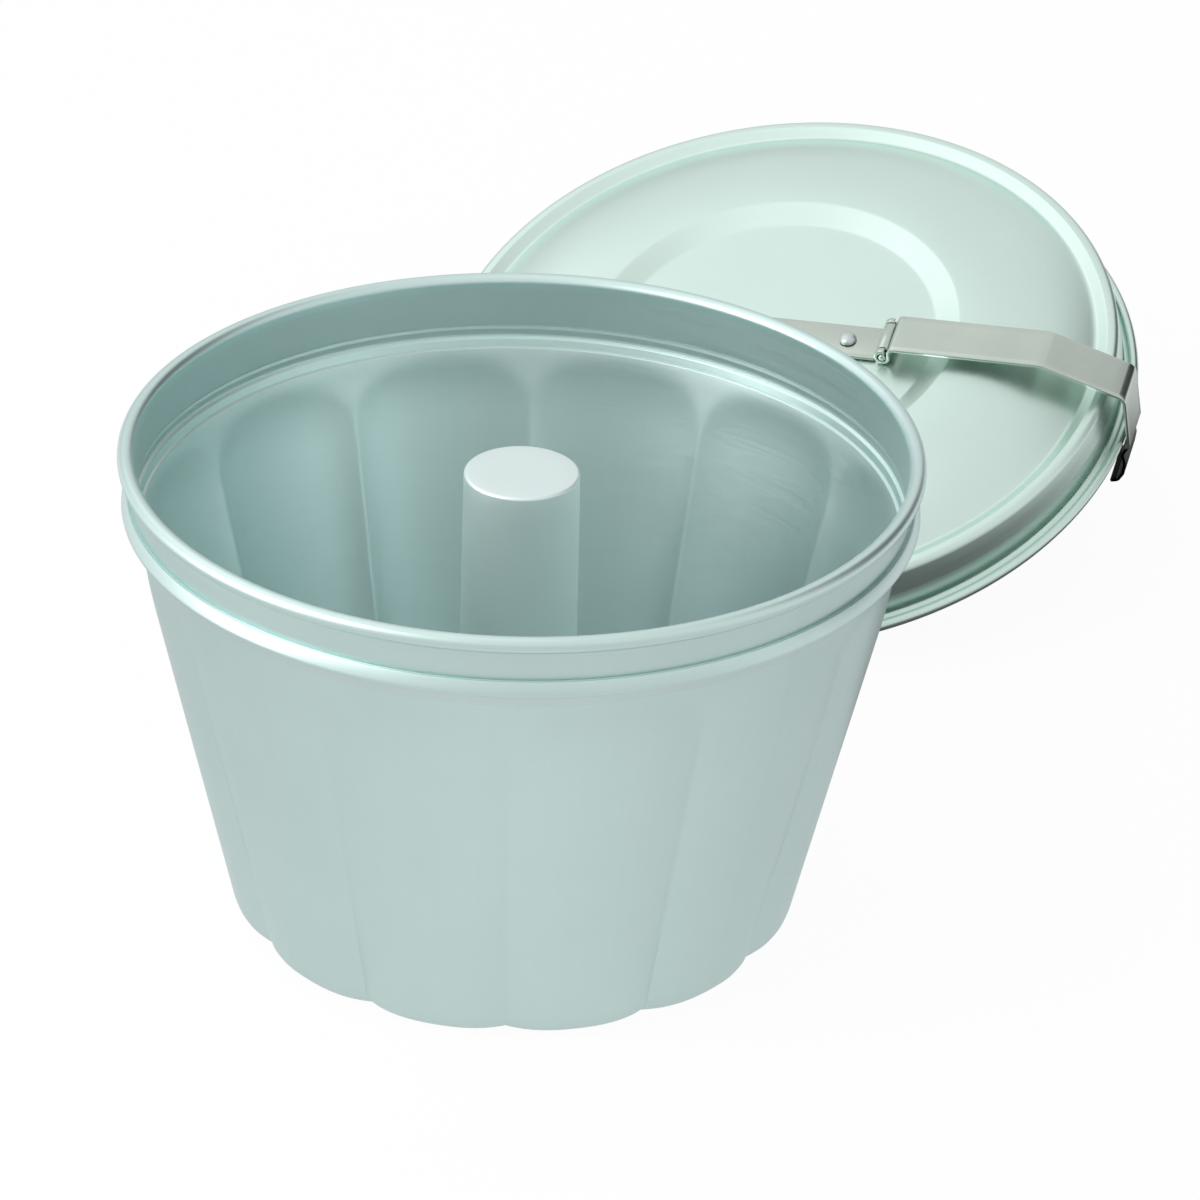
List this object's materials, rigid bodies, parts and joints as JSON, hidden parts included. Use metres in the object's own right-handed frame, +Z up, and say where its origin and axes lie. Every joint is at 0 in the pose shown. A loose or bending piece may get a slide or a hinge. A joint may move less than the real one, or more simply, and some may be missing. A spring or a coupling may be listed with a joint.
{
  "type": "pudding mould",
  "caption": "Fluted tapered metal pudding mould with a hollow central chimney and rolled rim, beside its domed lid with hinged spring clips that hook under the mould's bead.",
  "frame": {"origin": "on the mould's axis, on the table that the mould and the edge of its lid stand on", "axes": "+Z up along the mould's axis, -Y towards the viewer of the picture, +X to the viewer's right"},
  "size_m": [0.2317, 0.357, 0.1096],
  "materials": {
    "mould_aluminium": "satin, drawn sheet",
    "lid_aluminium": "satin, pressed sheet",
    "strap_steel": "bright rolled spring strip",
    "rivet_steel": "domed, plain"
  },
  "bodies": {
    "mould": {"mould_body": "mould_aluminium", "chimney": "mould_aluminium"},
    "lid": {"lid_pan": "lid_aluminium", "clip_bracket": "strap_steel", "bracket_rivet_right": "rivet_steel", "bracket_rivet_left": "rivet_steel", "hinge_pin_right": "strap_steel", "hinge_pin_left": "strap_steel"},
    "clip_right": {"clip_arm_right": "strap_steel"},
    "clip_left": {"clip_arm_left": "strap_steel"}
  },
  "joints": [
    {"name": "lid_lift", "type": "slide", "parent": "mould", "child": "lid", "axis": [0, 0, 1], "range_m": [0, 0.15]},
    {"name": "clip_right_hinge", "type": "hinge", "parent": "lid", "child": "clip_right", "pos_m": [0.08487, 0.17419, 0.05112], "axis": [-0.2587, -0.9082, -0.3291], "range_deg": [0, 100]},
    {"name": "clip_left_hinge", "type": "hinge", "parent": "lid", "child": "clip_left", "pos_m": [0.02977, 0.19125, 0.04736], "axis": [0.2587, 0.9082, 0.3291], "range_deg": [0, 100]}
  ]
}
